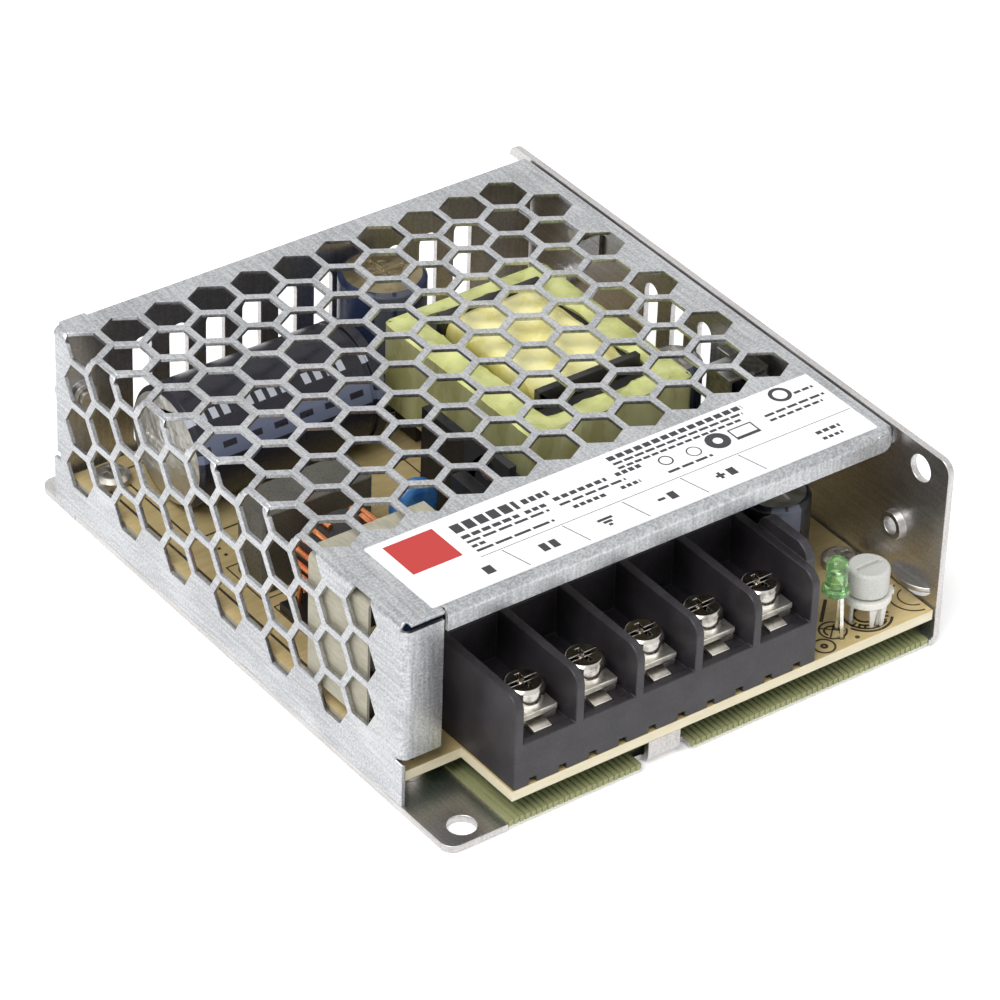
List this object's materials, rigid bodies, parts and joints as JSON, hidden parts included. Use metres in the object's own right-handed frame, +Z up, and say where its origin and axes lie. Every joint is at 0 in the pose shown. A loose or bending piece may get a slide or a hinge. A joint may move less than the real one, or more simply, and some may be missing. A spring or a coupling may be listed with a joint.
{
  "type": "mesh case switching power supply",
  "caption": "Low metal case with a hexagon-mesh cover over a populated board, a screw terminal block at the open end, lamp and trimmer",
  "frame": {"origin": "centre of the bounding box's footprint, on the underside of the floor", "axes": "+X along the terminals from the first to the last, +Y from the terminals back into the case, +Z up out of the floor"},
  "size_m": [0.082, 0.099, 0.03],
  "materials": {
    "chassis_steel": "galvanised sheet, faint brushing",
    "cover_steel": "galvanised sheet, faint brushing, bright cut edges",
    "label_film": "printed film",
    "ribbed_sheet": "ribbed translucent sheet",
    "card": "insulating card",
    "board": "paper-phenolic laminate",
    "terminal_black": "moulded thermoplastic",
    "plated": "tin plated",
    "nickel": "nickel plated",
    "green_lens": "tinted epoxy",
    "tinned": "tinned wire",
    "trimmer_white": "moulded",
    "trimmer_knob": "moulded, translucent",
    "ferrite": "sintered ferrite",
    "black_moulding": "moulded",
    "winding_tape": "polyester tape over wire",
    "yellow_tape": "polyester tape",
    "dark_sleeve": "shrink sleeve",
    "navy_sleeve": "shrink sleeve",
    "black_sleeve": "shrink sleeve",
    "enamelled_copper": "enamelled copper wire",
    "grey_box": "moulded box",
    "blue_dip": "dipped coating",
    "green_dip": "dipped coating",
    "black_package": "moulded epoxy",
    "black_anodised": "black anodised",
    "plain_aluminium": "mill finish",
    "spring_steel": "spring steel",
    "white_package": "moulded epoxy"
  },
  "bodies": {
    "case": {"chassis": "chassis_steel", "cover": "cover_steel", "rating_label": "label_film", "base_insulation_sheet": "ribbed_sheet", "side_insulation_sheet": "card", "circuit_board": "board", "terminal_housing": "terminal_black", "terminal_contact_1": "plated", "terminal_contact_2": "plated", "terminal_contact_3": "plated", "terminal_contact_4": "plated", "terminal_contact_5": "plated", "led_lamp": "green_lens", "led_leads": "tinned", "trimmer_base": "trimmer_white", "trimmer_legs": "tinned", "transformer_core": "ferrite", "transformer_bobbin": "black_moulding", "transformer_winding": "winding_tape", "transformer_tape": "yellow_tape", "bulk_capacitor": "dark_sleeve", "output_capacitor_1": "navy_sleeve", "output_capacitor_2": "navy_sleeve", "output_capacitor_3": "black_sleeve", "line_choke_core": "ferrite", "line_choke_winding": "enamelled_copper", "line_choke_base": "black_moulding", "x_capacitor": "grey_box", "y_capacitor": "blue_dip", "fuse": "black_moulding", "thermistor": "green_dip", "varistor": "blue_dip", "bridge_rectifier": "black_package", "switch_transistor": "black_package", "switch_heatsink": "black_anodised", "output_diode": "black_package", "diode_heatsink": "plain_aluminium", "diode_clip": "spring_steel", "controller_chip": "black_package", "optocoupler": "white_package", "output_choke_core": "ferrite", "output_choke_winding": "enamelled_copper", "board_standoffs": "plated", "board_screws": "nickel", "cover_screws": "nickel"},
    "clamp_1": {"terminal_clamp_1": "plated"},
    "clamp_2": {"terminal_clamp_2": "plated"},
    "clamp_3": {"terminal_clamp_3": "plated"},
    "clamp_4": {"terminal_clamp_4": "plated"},
    "clamp_5": {"terminal_clamp_5": "plated"},
    "screw_1": {"terminal_screw_1": "nickel"},
    "screw_2": {"terminal_screw_2": "nickel"},
    "screw_3": {"terminal_screw_3": "nickel"},
    "screw_4": {"terminal_screw_4": "nickel"},
    "screw_5": {"terminal_screw_5": "nickel"},
    "trimmer_knob": {"trimmer_knob": "trimmer_knob"}
  },
  "joints": [
    {"name": "clamp_1_travel", "type": "slide", "parent": "case", "child": "clamp_1", "axis": [0, 0, 1], "range_m": [-0.0004, 0.002]},
    {"name": "screw_1_turn", "type": "hinge", "parent": "clamp_1", "child": "screw_1", "pos_m": [-0.0252, -0.0433, 0.01555], "axis": [0, 0, 1], "range_deg": [-288, 1440]},
    {"name": "clamp_2_travel", "type": "slide", "parent": "case", "child": "clamp_2", "axis": [0, 0, 1], "range_m": [-0.0004, 0.002]},
    {"name": "screw_2_turn", "type": "hinge", "parent": "clamp_2", "child": "screw_2", "pos_m": [-0.0155, -0.0433, 0.01555], "axis": [0, 0, 1], "range_deg": [-288, 1440]},
    {"name": "clamp_3_travel", "type": "slide", "parent": "case", "child": "clamp_3", "axis": [0, 0, 1], "range_m": [-0.0004, 0.002]},
    {"name": "screw_3_turn", "type": "hinge", "parent": "clamp_3", "child": "screw_3", "pos_m": [-0.0058, -0.0433, 0.01555], "axis": [0, 0, 1], "range_deg": [-288, 1440]},
    {"name": "clamp_4_travel", "type": "slide", "parent": "case", "child": "clamp_4", "axis": [0, 0, 1], "range_m": [-0.0004, 0.002]},
    {"name": "screw_4_turn", "type": "hinge", "parent": "clamp_4", "child": "screw_4", "pos_m": [0.0039, -0.0433, 0.01555], "axis": [0, 0, 1], "range_deg": [-288, 1440]},
    {"name": "clamp_5_travel", "type": "slide", "parent": "case", "child": "clamp_5", "axis": [0, 0, 1], "range_m": [-0.0004, 0.002]},
    {"name": "screw_5_turn", "type": "hinge", "parent": "clamp_5", "child": "screw_5", "pos_m": [0.0136, -0.0433, 0.01555], "axis": [0, 0, 1], "range_deg": [-288, 1440]},
    {"name": "trimmer_turn", "type": "hinge", "parent": "case", "child": "trimmer_knob", "pos_m": [0.0313, -0.0449, 0.0103], "axis": [0, 0, 1], "range_deg": [-130, 130]}
  ],
  "couplings": [
    {"joint": "screw_1_turn", "follows": "clamp_1_travel", "rad_per_m": 12566},
    {"joint": "screw_2_turn", "follows": "clamp_2_travel", "rad_per_m": 12566},
    {"joint": "screw_3_turn", "follows": "clamp_3_travel", "rad_per_m": 12566},
    {"joint": "screw_4_turn", "follows": "clamp_4_travel", "rad_per_m": 12566},
    {"joint": "screw_5_turn", "follows": "clamp_5_travel", "rad_per_m": 12566}
  ]
}
